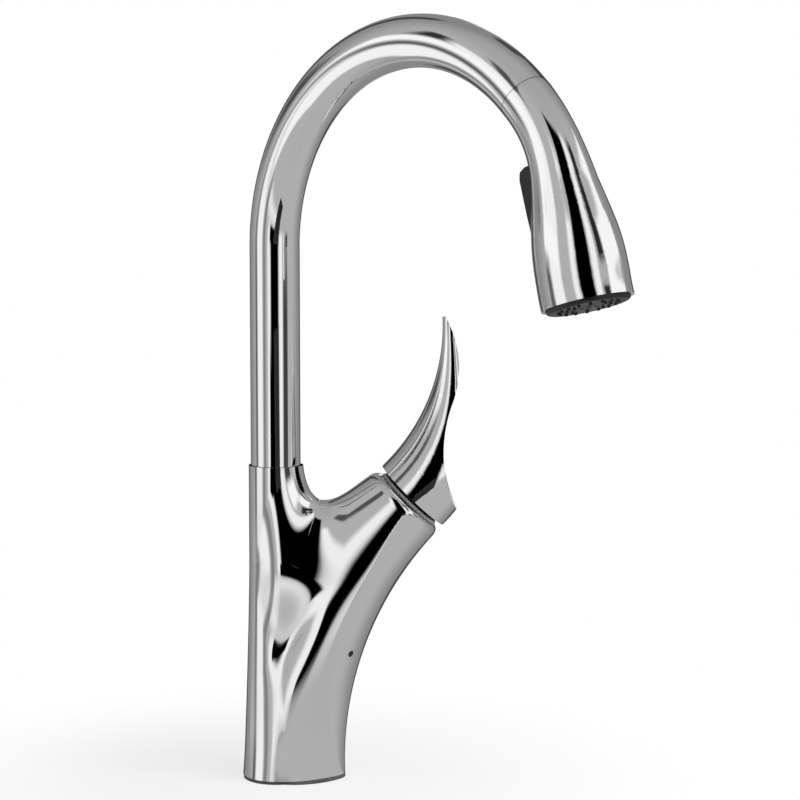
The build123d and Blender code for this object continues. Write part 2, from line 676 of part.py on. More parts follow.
with BuildPart() as port_seals:
    with BuildSketch(branch_frame(POCKET_FLOOR + SEAT)):
        with Locations(*VALVE_PORTS):
            Circle(PORT_SEAL_R + PORT_SEAL_T)
            Circle(PORT_SEAL_R - PORT_SEAL_T, mode=Mode.SUBTRACT)
    extrude(amount=2 * PORT_SEAL_T - SEAT)
finish(port_seals.part, "port_seals")

with BuildPart() as fixed_disc:
    bar(branch_frame(DISC_FLOOR), CAVITY_R - LOOSE, DISC_FACE - DISC_FLOOR)
    with BuildSketch(branch_frame(DISC_FLOOR)):
        with Locations(*VALVE_PORTS):
            Circle(PASSAGE_R)
    extrude(amount=BRANCH_R, mode=Mode.SUBTRACT)
finish(fixed_disc.part, "fixed_disc")

with BuildPart() as moving_disc:
    bar(branch_frame(DISC_FACE + SEAT), MOVING_DISC_R, MOVING_DISC_T)
    bar(branch_frame(DISC_FACE + SEAT), MOVING_DISC_R - 3, 0.8, mode=Mode.SUBTRACT)
    bar(branch_frame(DISC_FACE + MOVING_DISC_T - DISC_SOCKET_T), DISC_SOCKET_R, BRANCH_R, mode=Mode.SUBTRACT)
finish(moving_disc.part, "moving_disc")

with BuildPart() as cartridge_housing:
    bar(branch_frame(DISC_FLOOR), CARTRIDGE_R, CARTRIDGE_TOP - DISC_FLOOR)
    bar(branch_frame(DISC_FLOOR), CAVITY_R, CARRIER_SHOULDER - DISC_FLOOR, mode=Mode.SUBTRACT)
    bar(branch_frame(DISC_FLOOR), CARRIER_R + 2 * RUNNING, BRANCH_R, mode=Mode.SUBTRACT)
finish(cartridge_housing.part, "cartridge_housing")

with BuildPart() as carrier:
    bar(branch_frame(CARRIER_FLOOR), CAVITY_R - LOOSE, CARRIER_SHOULDER - RUNNING - CARRIER_FLOOR)
    bar(branch_frame(CARRIER_FLOOR), CARRIER_R, CARTRIDGE_TOP + 2.4 - CARRIER_FLOOR)
    with BuildSketch(branch_side):
        with Locations((-1, 0)):
            Rectangle(16, 4 * CARRIER_R)
    extrude(amount=STEM_HALF + LOOSE / 2, both=True, mode=Mode.SUBTRACT)
    with BuildSketch(branch_side):
        Circle(STEM_PIN_R + SEAT)
    extrude(amount=CARRIER_R, both=True, mode=Mode.SUBTRACT)
finish(carrier.part, "cartridge_carrier")

with BuildPart() as stem_pin:
    with BuildSketch(branch_side):
        Circle(STEM_PIN_R)
    extrude(amount=CARRIER_R - 1, both=True)
finish(stem_pin.part, "stem_pin")

with BuildPart() as stem:
    with BuildSketch(branch_frame(STEM_SHOULDER)):
        Rectangle(2 * STEM_HALF, 2 * STEM_HALF)
    extrude(amount=STEM_TOP - STEM_SHOULDER)
    bar(branch_frame(STEM_TIP), STEM_TIP_R, STEM_SHOULDER - STEM_TIP)
    with BuildSketch(branch_side):
        Circle(STEM_PIN_R + RUNNING)
    extrude(amount=CARRIER_R, both=True, mode=Mode.SUBTRACT)
finish(stem.part, "cartridge_stem")

with BuildPart() as retaining_nut:
    ring(branch_frame(CARTRIDGE_TOP + SEAT), POCKET_R - RUNNING, CARRIER_R + 1, NUT_TOP - CARTRIDGE_TOP - SEAT)
    with BuildSketch(branch_frame(NUT_TOP)):
        with PolarLocations((POCKET_R + CARRIER_R) / 2, 6):
            Rectangle(POCKET_R, 4)
        Circle(CARRIER_R, mode=Mode.SUBTRACT)
    extrude(amount=-2.5, mode=Mode.SUBTRACT)
finish(retaining_nut.part, "retaining_nut")

with BuildPart() as bonnet_ring:
    with BuildSketch(branch_side):
        with BuildLine():
            low = (BONNET_R, BRANCH_END + RUNNING)
            dome = sqrt(low[0] ** 2 + low[1] ** 2)
            high = (BONNET_MOUTH_R, sqrt(dome**2 - BONNET_MOUTH_R**2))
            middle_r = (low[0] + high[0]) / 2
            ThreePointArc(low, (middle_r, sqrt(dome**2 - middle_r**2)), high)
            Polyline(
                high,
                (BONNET_MOUTH_R, high[1] - 2),
                (POCKET_R - 2.5, BRANCH_END),
                (POCKET_R - 2.5, NUT_TOP + SEAT),
                (POCKET_R - RUNNING, NUT_TOP + SEAT),
                (POCKET_R - RUNNING, BRANCH_END + RUNNING),
                low,
            )
        make_face()
    revolve(axis=branch_axis)
finish(bonnet_ring.part, "bonnet_ring")

# Lever: a tapering horn that bends upright, hollowed to a blade on its outer side


def lever_radius(turn):
    """Radius of the lever horn at a bend angle."""
    return LEVER_TIP_R + (SKIRT_R - LEVER_TIP_R) * (1 + cos(pi * turn / LEVER_BEND)) / 2


def lever_frame(turn):
    """Plane across the lever horn at a bend angle, centred on the section."""
    back = branch_out * cos(radians(turn)) + branch_up * sin(radians(turn))
    ahead = branch_up * cos(radians(turn)) - branch_out * sin(radians(turn))
    bend_centre = PIVOT + branch_up * LEVER_BEND_Z - branch_out * (SKIRT_R + LEVER_BEND_R)
    origin = bend_centre + back * (LEVER_BEND_R + lever_radius(turn))
    return Plane(origin=origin, x_dir=back, z_dir=ahead)


with BuildPart() as lever:
    with BuildSketch(branch_frame(SKIRT_Z)):
        Circle(SKIRT_R)
    for step in range(9):
        turn = LEVER_BEND * step / 8
        with BuildSketch(lever_frame(turn)):
            Circle(lever_radius(turn))
    loft()
    lever_end = lever_frame(LEVER_BEND)
    tip = branch_side.to_local_coords(lever_end.origin - lever_end.x_dir * (LEVER_TIP_R - LEVER_TIP_T))
    with BuildSketch(branch_side):
        with BuildLine():
            hollow = ThreePointArc(*LEVER_HOLLOW)
            blade = TangentArc(hollow @ 1, tip, tangent=hollow % 1)
            beyond = blade @ 1 + (blade % 1) * LEVER_BEND_R
            far = 2 * LEVER_BEND_R
            Polyline(blade @ 1, beyond, (far, beyond.Y), (far, (hollow @ 0).Y), hollow @ 0)
        make_face()
    extrude(amount=2 * SKIRT_R, both=True, mode=Mode.SUBTRACT)
    bar(branch_frame(SKIRT_Z), SKIRT_R - SKIRT_WALL, SKIRT_ROOF - SKIRT_Z, mode=Mode.SUBTRACT)
    with BuildSketch(branch_frame(SKIRT_ROOF)):
        Rectangle(2 * (STEM_HALF + SEAT), 2 * (STEM_HALF + SEAT))
    extrude(amount=STEM_TOP + SEAT - SKIRT_ROOF, mode=Mode.SUBTRACT)
    grub_frame = Plane(origin=branch_frame(GRUB_Z).origin, x_dir=(0, 1, 0), z_dir=branch_out)
    bar(grub_frame, GRUB_R + SEAT, 2 * SKIRT_R, mode=Mode.SUBTRACT)
finish(lever.part, "lever_handle")

with BuildPart() as grub:
    bar(grub_frame.offset(STEM_HALF + SEAT), GRUB_R, GRUB_LENGTH)
    with BuildSketch(grub_frame.offset(STEM_HALF + SEAT + GRUB_LENGTH)):
        RegularPolygon(GRUB_R / 2, 6)
    extrude(amount=-2, mode=Mode.SUBTRACT)
finish(grub.part, "lever_grub_screw")
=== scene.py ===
import math

import bmesh
import bpy
import numpy as np
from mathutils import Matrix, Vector


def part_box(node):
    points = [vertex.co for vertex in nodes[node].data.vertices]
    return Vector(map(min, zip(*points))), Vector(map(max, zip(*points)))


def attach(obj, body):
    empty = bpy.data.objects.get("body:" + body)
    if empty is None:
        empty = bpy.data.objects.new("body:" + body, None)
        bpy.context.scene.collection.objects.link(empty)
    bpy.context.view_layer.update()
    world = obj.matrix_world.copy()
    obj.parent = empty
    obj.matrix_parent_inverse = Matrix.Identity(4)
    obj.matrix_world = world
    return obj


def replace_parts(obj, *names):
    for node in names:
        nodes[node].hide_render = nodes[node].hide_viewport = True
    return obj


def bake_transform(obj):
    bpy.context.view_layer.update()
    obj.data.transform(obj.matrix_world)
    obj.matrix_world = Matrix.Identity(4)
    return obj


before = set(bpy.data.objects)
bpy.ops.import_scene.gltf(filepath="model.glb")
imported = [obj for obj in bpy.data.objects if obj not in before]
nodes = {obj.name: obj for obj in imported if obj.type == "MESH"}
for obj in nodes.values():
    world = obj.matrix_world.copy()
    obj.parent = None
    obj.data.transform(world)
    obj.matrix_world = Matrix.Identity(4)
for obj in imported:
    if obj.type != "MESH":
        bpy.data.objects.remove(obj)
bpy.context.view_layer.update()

# Deck fixing: a threaded brass shank hangs through the deck, with a rubber washer, a steel washer
# and a hexagon nut run up from below. Two steel screws in the nut pull the faucet down tight.


class Wire:
    """A shader socket: expressions on it add Math nodes, and node() adds any other node."""

    def __init__(self, tree, socket=None):
        self.tree = tree
        self.socket = socket

    def node(self, kind, settings=None, sockets=None, output=0):
        made = self.tree.nodes.new("ShaderNode" + kind)
        for name, value in (settings or {}).items():
            setattr(made, name, value)
        for name, value in (sockets or {}).items():
            if isinstance(value, Wire):
                self.tree.links.new(value.socket, made.inputs[name])
            else:
                made.inputs[name].default_value = value
        return Wire(self.tree, made.outputs[output])

    def math(self, operation, first, second=0.0):
        return self.node("Math", {"operation": operation}, {0: first, 1: second})

    def __add__(self, other):
        return self.math("ADD", self, other)

    def __radd__(self, other):
        return self.math("ADD", other, self)

    def __sub__(self, other):
        return self.math("SUBTRACT", self, other)

    def __rsub__(self, other):
        return self.math("SUBTRACT", other, self)

    def __mul__(self, other):
        return self.math("MULTIPLY", self, other)

    def __rmul__(self, other):
        return self.math("MULTIPLY", other, self)

    def rise(self, low, high):
        """Smooth step from 0 at low to 1 at high."""
        return self.node(
            "MapRange",
            {"interpolation_type": "SMOOTHSTEP"},
            {"Value": self, "From Min": low, "From Max": high},
        )

    def tint(self, at_zero, at_one):
        """Colour between two tints."""
        sockets = {"Factor": self, 6: (*at_zero, 1.0), 7: (*at_one, 1.0)}
        return self.node("Mix", {"data_type": "RGBA"}, sockets, 2)


def finish_material(name):
    """New material: gives its node starter, its shader and the object coordinates."""
    material = bpy.data.materials.new(name)
    material.use_nodes = True
    tree = material.node_tree
    shader = tree.nodes["Principled BSDF"]
    start = Wire(tree)
    return material, start, shader, start.node("TexCoord", output=3)


def feed(start, shader, **sockets):
    """Sets or links the shader's sockets."""
    for name, value in sockets.items():
        socket = shader.inputs[name.replace("_", " ")]
        if isinstance(value, Wire):
            start.tree.links.new(value.socket, socket)
        else:
            socket.default_value = value


def wear(material, *names):
    """Gives CAD pieces their finish."""
    for name in names:
        data = nodes[name].data
        data.materials.clear()
        data.materials.append(material)


def noise(start, where, scale, detail=2.0, roughness=0.5):
    sockets = {"Vector": where, "Scale": scale, "Detail": detail, "Roughness": roughness}
    return start.node("TexNoise", None, sockets)


def bump(start, height, strength, distance):
    return start.node("Bump", None, {"Height": height, "Strength": strength, "Distance": distance})


def turned_brass(name, pitch):
    """Bare brass with a dull oxide bloom and lathe or thread lines at a pitch along its axis."""
    material, start, shader, where = finish_material(name)
    bloom = noise(start, where, 55.0, 4.0, 0.6)
    lines = start.node("TexWave", {"bands_direction": "Z"}, {"Vector": where, "Scale": 0.314 / pitch})
    colour = bloom.rise(0.35, 0.7).tint((0.62, 0.42, 0.16), (0.44, 0.29, 0.11))
    feed(start, shader, Base_Color=colour, Metallic=1.0, Roughness=0.24 + bloom * 0.22)
    feed(start, shader, Normal=bump(start, lines, 0.6, pitch * 0.35))
    return material


wear(turned_brass("threaded_brass", 0.0015), "threaded_shank", "hose_tail_fitting")


def rubber(name, shade):
    """Moulded rubber: matt, slightly dusty, with a fine skin."""
    material, start, shader, where = finish_material(name)
    dust = noise(start, where, 140.0, 5.0, 0.65)
    skin = noise(start, where, 900.0, 2.0)
    light = tuple(tone * 2.2 + 0.01 for tone in shade)
    feed(start, shader, Base_Color=dust.rise(0.45, 0.8).tint(shade, light), Roughness=0.5 + dust * 0.25)
    feed(start, shader, Normal=bump(start, skin, 0.25, 0.0004))
    return material


black_rubber = rubber("black_rubber", (0.012, 0.012, 0.013))
wear(black_rubber, "rubber_washer")


def bright_steel(name, scale):
    """Zinc plated steel with fine drawn lines and a patchy sheen."""
    material, start, shader, where = finish_material(name)
    patch = noise(start, where, 70.0, 3.0)
    grain = noise(start, where, scale, 2.0)
    feed(start, shader, Base_Color=patch.tint((0.50, 0.51, 0.53), (0.66, 0.66, 0.65)))
    feed(start, shader, Metallic=1.0, Roughness=0.2 + grain * 0.22)
    feed(start, shader, Normal=bump(start, grain, 0.12, 0.0003))
    return material


steel = bright_steel("plated_steel", 420.0)
wear(steel, "steel_washer", "mounting_nut", "clamp_screws")

# Base gasket: a thin grey rubber ring let into the underside of the foot. It shows as the dark
# line between the faucet and the deck.
wear(rubber("grey_rubber", (0.10, 0.10, 0.105)), "base_gasket")

# Body: one brass casting, polished and chrome plated like a mirror. The oval column under the
# spout blends into a horn that carries the lever. The skin is laid on one smooth field of both.


def mirror_chrome(name):
    """Mirror chrome: a cold tint, a faint haze of wiping marks in the polish."""
    material, start, shader, where = finish_material(name)
    haze = noise(start, where, 26.0, 4.0, 0.6)
    feed(start, shader, Base_Color=haze.tint((0.93, 0.935, 0.945), (0.965, 0.968, 0.972)))
    feed(start, shader, Metallic=1.0, Roughness=0.02 + haze.rise(0.4, 0.75) * 0.025)
    return material


chrome = mirror_chrome("mirror_chrome")
mm = 0.001
branch_lean = math.radians(46.0)
branch_up = np.array((math.cos(branch_lean), 0.0, math.sin(branch_lean)))
lever_pivot = np.array((63.9, 0.0, 145.0))
branch_end = 12.5
rim_round = 6.0
column_r = 14.75
flare_top = 121.0
flare_x, flare_y = 3.75, 6.75
keel_x, keel_z, keel_r = 222.494, 9.225, 185.0
horn_half = 23.4
horn_depth = 21.0
horn_top = 44.0
crease_reach, web_reach = 2.5, 25.5


def step_up(value, low, high):
    """Smooth step of numbers from 0 at low to 1 at high."""
    share = np.clip((value - low) / (high - low), 0.0, 1.0)
    return share * share * (3 - 2 * share)


def column_gap(x, y, z):
    """Distance outside the oval column, in millimetres."""
    flare = np.clip(1 - z / flare_top, 0.0, None) ** 1.4
    half_x = column_r + flare_x * flare
    half_y = column_r + flare_y * flare
    return (np.sqrt((x / half_x) ** 2 + (y / half_y) ** 2) - 1) * half_x


def horn_swell(angle):
    """How much the horn swells in the middle of its bend."""
    return 7.0 * np.exp(-(((angle - 30.0) / 11.5) ** 2))


def horn_gap(x, y, z):
    """Distance outside the horn that bends up to the lever, with a soft ridge and a flat flank."""
    angle = np.degrees(np.arctan2(z - keel_z, keel_x - x))
    half_width = horn_half + horn_swell(angle) - horn_swell(horn_top)
    half_depth = horn_depth + 2.4 * angle / horn_top
    inward = keel_r + half_width - np.hypot(x - keel_x, z - keel_z)
    narrow = 0.22 * np.clip(1 - angle / 30.0, 0.0, None) ** 2
    depth = half_depth * np.clip(1 - narrow * inward / half_width, 0.3, 2.0)
    low = np.clip(1 - angle / 26.0, 0.0, None) ** 2
    flank_width = 18.0 + 4.0 * step_up(angle, 32.0, horn_top) + 6.0 * low
    bulge = 6.0 * np.exp(-(((angle - 12.0) / 6.0) ** 2))
    across = inward - half_width + flank_width
    flank = across > 0
    power = np.where(flank, 2.0 - 0.4 * step_up(z, 4.0, 50.0), 2.0)
    inner_width = 2 * half_width - flank_width + 10.0 * low + bulge
    share = np.abs(across) / np.where(flank, flank_width, inner_width)
    return ((share**power + np.abs(y / depth) ** power) ** (1 / power) - 1) * half_width


def body_gap(points):
    """Distance outside the casting: column and horn run into each other, and the rim is rounded."""
    x, y, z = points.T
    column, horn = column_gap(x, y, z), horn_gap(x, y, z)
    reach = crease_reach + web_reach * step_up(z, 64.0, 126.0) * step_up(x, -26.0, 4.0)
    share = np.clip(0.5 + 0.5 * (horn - column) / reach, 0.0, 1.0)
    joined = horn + (column - horn) * share - reach * share * (1 - share)
    above = (points - lever_pivot) @ branch_up - branch_end
    share = np.clip(0.5 + 0.5 * (joined - above) / rim_round, 0.0, 1.0)
    return above + (joined - above) * share + rim_round * share * (1 - share)


def slope(points):
    """Direction in which the gap to the casting grows."""
    nudge = 0.02
    steps = np.eye(3) * nudge
    rises = [body_gap(points + step) - body_gap(points - step) for step in steps]
    return np.stack(rises, 1) / (2 * nudge)


def tube(build, rings):
    """Closed tube through rings of points."""
    rows = [[build.verts.new(point) for point in ring] for ring in rings]
    for lower, upper in zip(rows, rows[1:]):
        for i in range(len(lower)):
            j = (i + 1) % len(lower)
            build.faces.new((lower[i], lower[j], upper[j], upper[i]))
    build.faces.new(rows[0][::-1])
    build.faces.new(rows[-1])


def piece(name, build, body, material):
    """Makes a smooth mesh piece, which moves with a body where one is given."""
    data = bpy.data.meshes.new(name)
    build.to_mesh(data)
    build.free()
    data.materials.append(material)
    for face in data.polygons:
        face.use_smooth = True
    made = bpy.data.objects.new(name, data)
    bpy.context.collection.objects.link(made)
    if body:
        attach(made, body)
    return made


rough = bmesh.new()
ring_count = 48
turns = [2 * math.pi * i / ring_count for i in range(ring_count)]
draft_r = 16
draft_levels = range(-9, 190, 9)
tube(rough, [[(draft_r * math.cos(t), draft_r * math.sin(t), z) for t in turns] for z in draft_levels])
horn_rings = []
for angle in range(-6, 50, 3):
    lean = math.radians(angle)
    middle = keel_r + horn_half
    ring = []
    for t in turns:
        away = middle - 22 * math.cos(t)
        across = horn_depth * math.sin(t)
        ring.append((keel_x - away * math.cos(lean), across, keel_z + away * math.sin(lean)))
    horn_rings.append(ring)
tube(rough, horn_rings)
draft = bpy.data.meshes.new("casting_draft")
rough.to_mesh(draft)
rough.free()
draft_piece = bpy.data.objects.new("casting_draft", draft)
bpy.context.collection.objects.link(draft_piece)
remesh = draft_piece.modifiers.new("remesh", "REMESH")
remesh.mode = "VOXEL"
remesh.voxel_size = 1.5
grown_piece = draft_piece.evaluated_get(bpy.context.evaluated_depsgraph_get())
grown = bpy.data.meshes.new_from_object(grown_piece)
bpy.data.objects.remove(draft_piece)
skin = bmesh.new()
skin.from_mesh(grown)


def settle(build, passes):
    """Evens out the mesh and lays its vertices on the surface of the casting; the last passes only lay."""
    build.verts.ensure_lookup_table()
    build.verts.index_update()
    spots = np.array([vert.co for vert in build.verts])
    pairs = np.array([[vert.index for vert in edge.verts] for edge in build.edges])
    count = np.bincount(pairs.ravel(), minlength=len(spots))[:, None]
    last_passes = 5
    for turn in range(passes + last_passes):
        if turn < passes:
            total = np.zeros_like(spots)
            np.add.at(total, pairs[:, 0], spots[pairs[:, 1]])
            np.add.at(total, pairs[:, 1], spots[pairs[:, 0]])
            spots = spots * 0.5 + total / count * 0.5
        uphill = slope(spots)
        climb = np.clip(body_gap(spots) / np.maximum((uphill**2).sum(1), 0.2), -3.0, 3.0)
        spots = spots - uphill * climb[:, None]
    for vert, spot in zip(build.verts, spots):
        vert.co = spot


settle(skin, 40)
bmesh.ops.subdivide_edges(skin, edges=skin.edges[:], cuts=1, use_grid_fill=True)
settle(skin, 8)
foot_level, seam_level = 2.0, 172.9
for level, keep_up in ((foot_level, True), (seam_level, False)):
    bmesh.ops.bisect_plane(
        skin,
        geom=skin.verts[:] + skin.edges[:] + skin.faces[:],
        plane_co=(0, 0, level),
        plane_no=(0, 0, 1),
        clear_outer=not keep_up,
        clear_inner=keep_up,
    )
pocket_r, pocket_floor = 18.6, 8
inner = []
for vert in skin.verts:
    offset = np.array(vert.co) - lever_pivot
    along_branch = offset @ branch_up
    if along_branch > pocket_floor and np.linalg.norm(offset - branch_up * along_branch) < pocket_r:
        inner.append(vert)
bmesh.ops.delete(skin, geom=inner, context="VERTS")
for vert in skin.verts:
    vert.co *= mm
casting = piece("casting_skin", skin, "body", chrome)
spots = np.array([vert.co for vert in casting.data.vertices]) / mm
outward = slope(spots)
outward /= np.linalg.norm(outward, axis=1)[:, None]
casting.data.normals_split_custom_set_from_vertices([tuple(row) for row in outward])
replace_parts(casting, "body_casting")

# Passage plug: a small dark plastic plug, pressed into the drilled water passage low on the flank.
# Its domed end stands a hair proud of the skin.


def moulded(name, shade, gloss, grain_scale):
    """Moulded plastic with a fine even grain and a little wear in the gloss."""
    material, start, shader, where = finish_material(name)
    grain = noise(start, where, grain_scale, 2.0)
    wear_mark = noise(start, where, 45.0, 4.0, 0.6)
    light = tuple(tone * 1.25 + 0.004 for tone in shade)
    feed(start, shader, Base_Color=wear_mark.tint(shade, light))
    feed(start, shader, Roughness=gloss + wear_mark.rise(0.4, 0.8) * 0.12)
    feed(start, shader, Normal=bump(start, grain, 0.1, 0.0002))
    return material


dark_plastic = moulded("dark_plastic", (0.008, 0.008, 0.009), 0.32, 1600.0)
wear(dark_plastic, "passage_plug")
low_corner, high_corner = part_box("passage_plug")
centre = np.array((low_corner + high_corner) / 2 / mm)[None, :]
for _ in range(8):
    uphill = slope(centre)
    centre = centre - uphill * (body_gap(centre) / (uphill**2).sum(1))[:, None]
up = Vector(uphill[0]).normalized()
right = up.orthogonal().normalized()
back = up.cross(right)
plug = bmesh.new()
plug_r, plug_rise, plug_depth = 1.9, 0.3, 1.0
dome = []
for share in (1.0, 0.98, 0.85, 0.6, 0.3, 0.05):
    lift = plug_rise * (1 - share**4) if share < 1 else -plug_depth
    middle = Vector(centre[0]) + up * lift
    rays = [right * math.cos(t) + back * math.sin(t) for t in turns]
    dome.append([(middle + ray * plug_r * share) * mm for ray in rays])
tube(plug, dome)
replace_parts(piece("plug_cap", plug, "body", dark_plastic), "passage_plug")

# Spout swivel: a brass hub in the foot of the spout turns in the column on two slippery rings,
# sealed by two rubber rings and kept down by a screw whose tip runs in a groove.
wear(turned_brass("turned_brass", 0.0006), "spout_hub", "retaining_nut", "hose_nut")
white_plastic = moulded("slippery_white", (0.72, 0.71, 0.67), 0.34, 700.0)
wear(white_plastic, "lower_glide_ring", "upper_glide_ring")
wear(black_rubber, "hub_o_rings")
wear(bright_steel("satin_chrome", 900.0), "keeper_screw")

# Seam washer: a thin steel washer between the column and the spout. It shows as a fine line.
# The spout slides round on it.
wear(steel, "seam_washer")

# Spout: a drawn brass tube bent into a high arch, polished and chrome plated. It is soldered on
# the hub and turns with it.
wear(chrome, "spout_tube")

# Dock: a plated collar pressed into the end of the spout, and the chrome plated neck on top of
# the spray head that slips into it.
wear(bright_steel("dock_collar_chrome", 900.0), "docking_collar")
wear(chrome, "docking_neck")

# Pull hose: a nylon braided hose that runs up the column and round the arch to the spray head.
# It is parted at the dock: the upper run stays in the spout, and the rest is a loose piece from the dock
# round the bend in the head.
braid, start, shader, where = finish_material("braided_nylon")
strands = start.node("TexWave", {"wave_type": "BANDS"}, {"Vector": where, "Scale": 160.0})
feed(start, shader, Base_Color=strands.tint((0.30, 0.31, 0.33), (0.60, 0.61, 0.63)))
feed(start, shader, Roughness=0.35 + strands * 0.25, Normal=bump(start, strands, 0.5, 0.0006))
spout_turn = math.radians(44.6)
dock = math.radians(133.5)
forward = Vector((math.cos(spout_turn), -math.sin(spout_turn), 0))
aside = Vector((0, 0, 1)).cross(forward)
arch_r, arch_level, head_bend_r = 107, 292, 86.7
hose_r, hose_low = 6.5, -70
arch_middle = forward * arch_r + Vector((0, 0, arch_level))


def hose_ring(middle, heading):
    """One ring of the hose, in metres, across its heading."""
    level = aside.cross(heading)
    return [(middle + (aside * math.cos(t) + level * math.sin(t)) * hose_r) * mm for t in turns]


def arch_spot(angle):
    """A spot on the middle line of the arch, or of the bend in the head, and its heading."""
    outward = Vector((0, 0, math.sin(angle))) - forward * math.cos(angle)
    dock_out = Vector((0, 0, math.sin(dock))) - forward * math.cos(dock)
    heading = forward * math.sin(angle) + Vector((0, 0, math.cos(angle)))
    if angle < dock:
        return arch_middle + outward * arch_r, heading
    return arch_middle + dock_out * (arch_r - head_bend_r) + outward * head_bend_r, heading


run = bmesh.new()
rings = [hose_ring(Vector((0, 0, z)), Vector((0, 0, 1))) for z in range(hose_low, arch_level, 10)]
arch_steps = 48
rings += [hose_ring(*arch_spot(dock * i / arch_steps)) for i in range(arch_steps + 1)]
tube(run, rings)
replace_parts(piece("hose_run", run, "spout", braid), "pull_hose")
dock_spot, dock_heading = arch_spot(dock)
reach_end = dock_spot + dock_heading * 2
rings = [hose_ring(dock_spot + dock_heading * (i / 45), dock_heading) for i in range(-20, 91)]
rings += [hose_ring(*arch_spot(math.radians(134.9 + i * 1.8))) for i in range(11)]
draw = bmesh.new()
tube(draw, rings)
hose_reach = piece("hose_reach", draw, None, braid)
reach_end * mm
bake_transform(hose_reach)
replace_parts(hose_reach, "pull_hose")

# Spray head: a chrome plated shell round a moulded valve body. A black rocker on its back shifts
# the spool between stream and spray.
wear(chrome, "spray_head_shell")
wear(white_plastic, "valve_body", "diverter_spool", "check_valve")
wear(black_rubber, "spool_seals")
wear(steel, "inlet_screen", "rocker_pin")
black_trim = moulded("black_trim", (0.010, 0.010, 0.011), 0.26, 1400.0)
wear(black_trim, "spray_rocker")
cap = bmesh.new()
paddle_foot = Vector((137.2, -135.3, 0))
paddle_half = 10.0
outer_line = ((336.5, 1.4), (335.5, 3.8), (333.0, 6.8), (329.0, 6.8), (313.0, 2.2), (297.0, -3.0))
inner_line = ((296.5, -6.0), (309.0, -6.0), (318.0, -3.6), (327.0, -0.6), (333.0, -0.6))
paddle = outer_line + inner_line
sides = []
for half in (-paddle_half, paddle_half):
    spot = paddle_foot + aside * half
    line = [(spot - forward * out + Vector((0, 0, z))) * mm for z, out in paddle]
    sides.append([cap.verts.new(point) for point in line])
for i in range(len(paddle)):
    j = (i + 1) % len(paddle)
    cap.faces.new((sides[0][i], sides[0][j], sides[1][j], sides[1][i]))
cap.faces.new(sides[0][::-1])
cap.faces.new(sides[1])
bmesh.ops.recalc_face_normals(cap, faces=cap.faces[:])
rocker_cap = piece("rocker_cap", cap, "rocker", black_trim)
for face in rocker_cap.data.polygons:
    face.use_smooth = False
soft_edge = rocker_cap.modifiers.new("soft_edge", "BEVEL")
soft_edge.width = 0.8 * mm
soft_edge.segments = 3
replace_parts(rocker_cap, "spray_rocker")

# Outlet: a moulded dark face, snapped into the mouth of the shell, with the soft nozzles of a
# silicone pad standing through it round a small aerator.
wear(dark_plastic, "spray_face", "aerator")
wear(rubber("grey_silicone", (0.020, 0.020, 0.021)), "nozzle_pad")

# Cartridge: two ceramic discs in a plastic housing, turned and tipped by a brass stem, clamped in
# the branch by a brass nut.
wear(white_plastic, "cartridge_base", "cartridge_housing", "cartridge_carrier")
wear(black_rubber, "port_seals")
ceramic = moulded("white_ceramic", (0.80, 0.79, 0.76), 0.12, 2400.0)
wear(ceramic, "fixed_disc", "moving_disc")
wear(turned_brass("stem_brass", 0.0005), "cartridge_stem")
wear(steel, "stem_pin", "lever_grub_screw")

# Lever: a chrome plated horn, bent upright and hollowed to a blade, held on the stem by a grub
# screw. It stands on a ring that is light grey below and black above.
ring_finish, start, shader, where = finish_material("bonnet_finish")
axis_up = tuple(float(part) for part in branch_up)
rise_up = start.node("VectorMath", {"operation": "DOT_PRODUCT"}, {0: where, 1: axis_up}, 1)
ring_base = float((lever_pivot @ branch_up + branch_end) * mm)
black = rise_up.rise(ring_base + 1.2 * mm, ring_base + 1.4 * mm)
feed(start, shader, Base_Color=black.tint((0.62, 0.62, 0.63), (0.010, 0.010, 0.011)))
feed(start, shader, Roughness=0.45 - black * 0.15)
wear(ring_finish, "bonnet_ring")
wear(chrome, "lever_handle")

# Studio: a room of white panels and black cards round the object, which only the chrome sees.
# Each panel has its brightness, its bearings left and right, its heights low and high, its soft edge.
world = bpy.data.worlds.new("studio")
bpy.context.scene.world = world
world.use_nodes = True
tree = world.node_tree
room = Wire(tree)
seen = room.node("TexCoord", output=0)
side = room.node("SeparateXYZ", None, {"Vector": seen}, 0)
depth = Wire(tree, side.socket.node.outputs[1])
height = Wire(tree, side.socket.node.outputs[2])
bearing = room.math("ARCTAN2", side, depth * -1.0) * (180 / math.pi)
climb = room.math("ARCSINE", height) * (180 / math.pi)


def panel(light, level, left, right, low, high, soft):
    """Hangs a panel of one brightness in the room, between two bearings and two heights in degrees."""
    across = bearing.rise(left - soft, left + soft) * (1.0 - bearing.rise(right - soft, right + soft))
    up = climb.rise(low - soft, low + soft) * (1.0 - climb.rise(high - soft, high + soft))
    mask = across * up
    return light + mask * (level - light)


